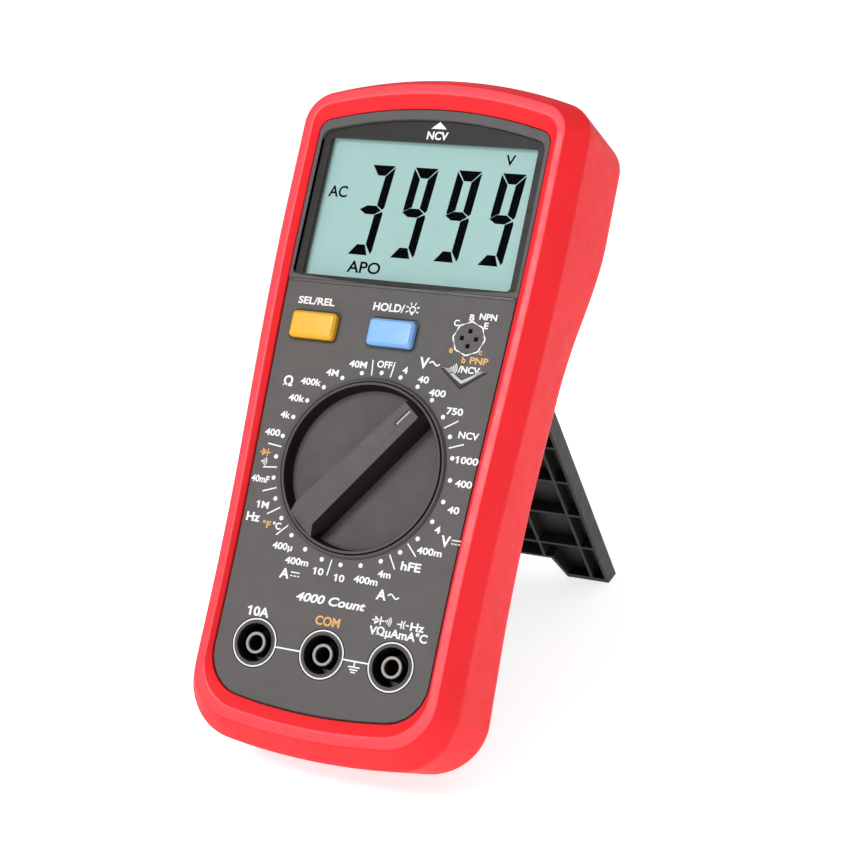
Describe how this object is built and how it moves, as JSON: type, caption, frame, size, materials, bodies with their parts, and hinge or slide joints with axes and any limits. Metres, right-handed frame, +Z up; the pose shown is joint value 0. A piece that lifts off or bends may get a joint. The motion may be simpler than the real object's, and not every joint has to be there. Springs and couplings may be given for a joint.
{
  "type": "handheld digital multimeter",
  "caption": "Handheld digital multimeter in a bright protective boot, leaning back on its ribbed fold-out stand, with a display, a rotary selector and shrouded jacks.",
  "frame": {"origin": "centre of the overall box's base, on the surface the meter stands on", "axes": "+Z up, +X to the reader's right across the meter, +Y from the face towards the stand behind; the face looks towards -Y and up"},
  "size_m": [0.085, 0.139, 0.1564],
  "materials": {
    "boot_red": "smooth red rubber with a faint sheen",
    "panel_grey": "fine matt grey plastic with printed marks",
    "case_dark": "fine matt charcoal plastic",
    "knob_grey": "satin charcoal plastic",
    "stand_black": "fine matt black plastic",
    "window_clear": "glossy clear window with a dark printed border",
    "lcd_glass": "pale green liquid crystal display",
    "white_plastic": "white moulding",
    "light_guide": "clear light guide",
    "pink_rubber": "striped conductive rubber",
    "button_yellow": "satin yellow plastic",
    "button_blue": "satin pale blue plastic",
    "pad_grey": "translucent grey silicone",
    "black_plastic": "black moulding",
    "lens_smoke": "frosted light window",
    "lamp_red": "small red lamp",
    "brass_metal": "plain brass",
    "steel_metal": "zinc plated steel",
    "board_green": "green lacquered circuit board",
    "chip_black": "moulded chip package",
    "can_blue": "shrink sleeve",
    "disc_blue": "dipped ceramic disc",
    "copper_alloy": "copper alloy wire",
    "fuse_ceramic": "ceramic tube with end caps",
    "fuse_glass": "glass tube with end caps",
    "battery_wrap": "plain printed wrap",
    "wire_red": "wire insulation"
  },
  "bodies": {
    "case": {"holster": "boot_red", "front_case": "panel_grey", "face_panel": "panel_grey", "display_window": "window_clear", "lcd_glass": "lcd_glass", "lcd_frame": "white_plastic", "backlight": "light_guide", "zebra_strip": "pink_rubber", "button_pad": "pad_grey", "transistor_socket": "black_plastic", "socket_contacts": "brass_metal", "alarm_lens": "lens_smoke", "alarm_led": "lamp_red", "jack_block": "black_plastic", "jack_sleeve_current": "brass_metal", "jack_sleeve_common": "brass_metal", "jack_sleeve_voltage": "brass_metal", "main_board": "board_green", "board_screws": "steel_metal", "measuring_chip": "chip_black", "capacitors": "can_blue", "varistors": "disc_blue", "trimmer": "disc_blue", "current_shunt": "copper_alloy", "large_fuse": "fuse_ceramic", "small_fuse": "fuse_glass", "fuse_clips": "steel_metal", "buzzer": "brass_metal", "rear_case": "case_dark", "case_screws": "steel_metal", "battery": "battery_wrap", "battery_snap": "black_plastic", "battery_leads": "wire_red", "battery_door": "case_dark", "door_screw": "steel_metal"},
    "selector": {"selector_knob": "knob_grey", "selector_rotor": "white_plastic", "wiper_contacts": "brass_metal", "detent_balls": "steel_metal", "detent_springs": "steel_metal"},
    "select_key": {"select_button": "button_yellow"},
    "hold_key": {"hold_button": "button_blue"},
    "stand": {"tilt_stand": "stand_black"}
  },
  "joints": [
    {"name": "selector_turn", "type": "hinge", "parent": "case", "child": "selector", "pos_m": [0, -0.02415, 0.07379], "axis": [0, -0.7793, 0.6266], "continuous": true},
    {"name": "select_press", "type": "slide", "parent": "case", "child": "select_key", "axis": [0, 0.7793, -0.6266], "range_m": [0, 0.0009], "stiffness_N_per_m": 800, "springref_m": -0.0005},
    {"name": "hold_press", "type": "slide", "parent": "case", "child": "hold_key", "axis": [0, 0.7793, -0.6266], "range_m": [0, 0.0009], "stiffness_N_per_m": 800, "springref_m": -0.0005},
    {"name": "stand_fold", "type": "hinge", "parent": "case", "child": "stand", "pos_m": [0, 0.02004, 0.08087], "axis": [1, 0, 0], "range_deg": [-65, 0]}
  ]
}
